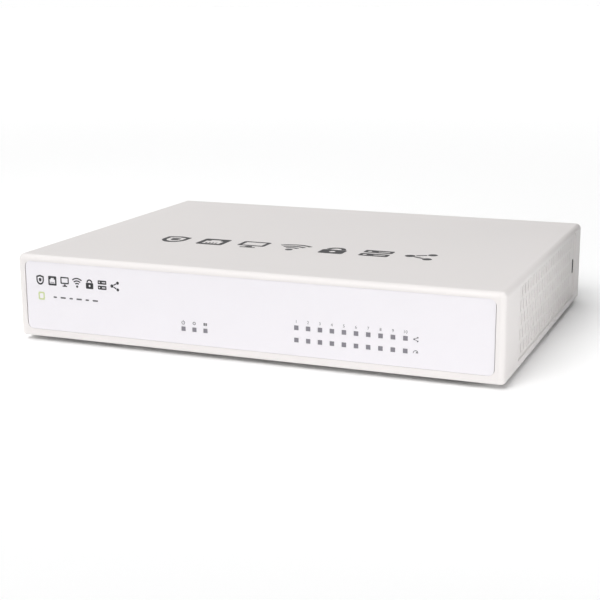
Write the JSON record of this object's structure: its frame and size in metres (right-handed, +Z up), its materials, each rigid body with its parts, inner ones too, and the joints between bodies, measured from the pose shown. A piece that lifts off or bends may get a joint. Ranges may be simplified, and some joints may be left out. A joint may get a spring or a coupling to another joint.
{
  "type": "desktop firewall appliance",
  "caption": "Flat white desktop network firewall: vented moulded cover, glossy front plate with status windows, rear row of network, console, USB and power sockets, sprung reset button.",
  "frame": {"origin": "on the floor under the middle of the case", "axes": "+X along the width to the viewer's right when facing the front, +Y from front to rear, +Z up"},
  "size_m": [0.216, 0.16, 0.0385],
  "materials": {
    "white_moulding": "fine-textured white moulding",
    "white_gloss_panel": "smooth glossy white plate",
    "light_guide": "smoked clear moulding",
    "tray_steel": "off-white powder coat on sheet steel",
    "label_film": "silver film, blank",
    "foot_rubber": "moulded grey rubber",
    "screw_steel": "zinc-plated screw steel",
    "standoff_brass": "nickel-plated brass",
    "circuit_board": "green solder mask",
    "chip_epoxy": "black epoxy",
    "thermal_pad": "soft grey pad",
    "heatsink_aluminium": "dark anodised",
    "white_nylon": "natural nylon",
    "black_nylon": "black glass-filled nylon",
    "cell_steel": "polished cell steel",
    "inductor_ferrite": "pressed ferrite",
    "capacitor_can": "bare drawn can",
    "tinned_steel": "tinned sheet steel",
    "plated_pin": "nickel-plated pin",
    "button_plastic": "black moulded plastic"
  },
  "bodies": {
    "case": {"base_tray": "tray_steel", "board_screw_1": "screw_steel", "board_screw_2": "screw_steel", "board_screw_3": "screw_steel", "board_screw_4": "screw_steel", "board_standoff_1": "standoff_brass", "board_standoff_2": "standoff_brass", "board_standoff_3": "standoff_brass", "board_standoff_4": "standoff_brass", "bulk_capacitor_1": "capacitor_can", "bulk_capacitor_2": "capacitor_can", "bulk_capacitor_3": "capacitor_can", "cell_holder": "black_nylon", "coin_cell": "cell_steel", "console_block": "black_nylon", "console_shield": "tinned_steel", "cover_screw_1": "screw_steel", "cover_screw_2": "screw_steel", "cover_screw_3": "screw_steel", "cover_screw_4": "screw_steel", "earth_screw": "screw_steel", "flash_chip": "chip_epoxy", "foot_front_left": "foot_rubber", "foot_front_right": "foot_rubber", "foot_rear_left": "foot_rubber", "foot_rear_right": "foot_rubber", "front_panel": "white_gloss_panel", "heatsink": "heatsink_aluminium", "heatsink_pin_front": "white_nylon", "heatsink_pin_rear": "white_nylon", "left_port_block": "black_nylon", "left_port_shield": "tinned_steel", "lower_port_light_guide": "light_guide", "main_board": "circuit_board", "memory_chip_front": "chip_epoxy", "memory_chip_rear": "chip_epoxy", "network_transformer_1": "chip_epoxy", "network_transformer_2": "chip_epoxy", "network_transformer_3": "chip_epoxy", "network_transformer_4": "chip_epoxy", "network_transformer_5": "chip_epoxy", "power_inductor_1": "inductor_ferrite", "power_inductor_2": "inductor_ferrite", "power_pin": "plated_pin", "power_socket": "black_nylon", "processor": "chip_epoxy", "rating_label": "label_film", "reset_switch_body": "black_nylon", "right_port_block": "black_nylon", "right_port_shield": "tinned_steel", "status_light_guide": "light_guide", "switch_chip": "chip_epoxy", "thermal_pad": "thermal_pad", "top_cover": "white_moulding", "upper_port_light_guide": "light_guide", "usb_shell": "tinned_steel", "usb_tongue": "white_nylon"},
    "reset_button": {"reset_button": "button_plastic"}
  },
  "joints": [
    {"name": "reset_press", "type": "slide", "parent": "case", "child": "reset_button", "axis": [0, -1, 0], "range_m": [0, 0.0005], "stiffness_N_per_m": 1000, "springref_m": -0.0005}
  ]
}
